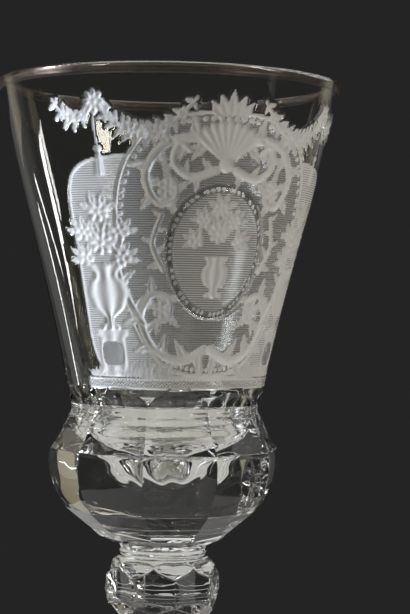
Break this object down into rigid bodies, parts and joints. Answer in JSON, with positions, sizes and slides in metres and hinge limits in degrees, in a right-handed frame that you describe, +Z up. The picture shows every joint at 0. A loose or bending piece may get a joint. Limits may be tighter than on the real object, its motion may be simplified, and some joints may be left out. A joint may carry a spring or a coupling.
{
  "type": "commemorative goblet",
  "caption": "Cut-glass goblet: gilt-edged funnel bowl with fluted waist over a solid faceted cushion, faceted knop and baluster stem with collars, round domed foot.",
  "frame": {"origin": "middle of the foot's underside, on the surface the goblet stands on", "axes": "+Z up along the goblet's axis of symmetry, -Y the engraved front, +X to its right"},
  "size_m": [0.102, 0.102, 0.2134],
  "materials": {
    "foot_glass": "clear hand-made potash glass, fire polished",
    "stem_glass": "clear solid glass, wheel-cut facets polished bright",
    "bowl_glass": "clear glass, polished facets below, matt wheel engraving on the front of the funnel",
    "gilding": "thin fired gilding, worn, satin"
  },
  "bodies": {
    "root": {"foot": "foot_glass", "foot_collar": "stem_glass", "baluster": "stem_glass", "knop_collar": "stem_glass", "knop": "stem_glass", "neck_collar": "stem_glass", "bowl": "bowl_glass", "rim_gilding": "gilding"}
  },
  "joints": []
}
